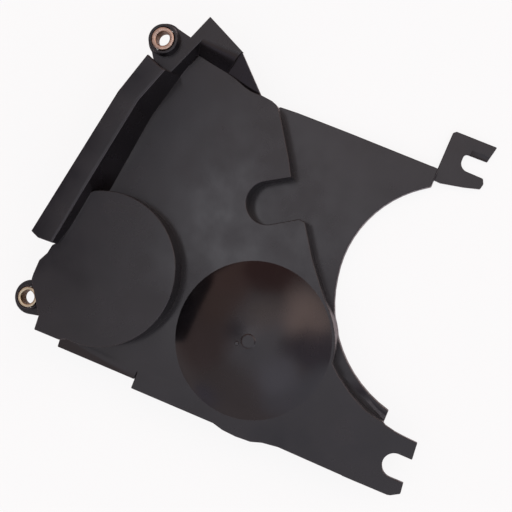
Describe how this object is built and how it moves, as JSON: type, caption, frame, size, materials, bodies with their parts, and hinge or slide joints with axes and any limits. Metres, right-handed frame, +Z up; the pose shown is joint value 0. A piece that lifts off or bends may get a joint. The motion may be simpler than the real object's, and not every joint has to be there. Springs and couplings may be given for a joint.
{
  "type": "timing belt cover",
  "caption": "Stepped black plastic timing belt cover with a raised disc, a round dome, open bolt forks and metal-sleeved fixing ears.",
  "frame": {"origin": "bottom centre of the part's bounding box, in the plane of the open back edge", "axes": "+Z up from the open back to the outer side, +X from the sleeved ears to the forks, +Y from the lower fork to the upper fork"},
  "size_m": [0.2146, 0.1838, 0.039],
  "materials": {
    "cover_moulding": "satin black, lightly polished by handling",
    "upper_bush": "coppery, turned",
    "lower_bush": "yellow, turned"
  },
  "bodies": {
    "root": {"cover_moulding": "cover_moulding", "upper_bush": "upper_bush", "lower_bush": "lower_bush"}
  },
  "joints": []
}
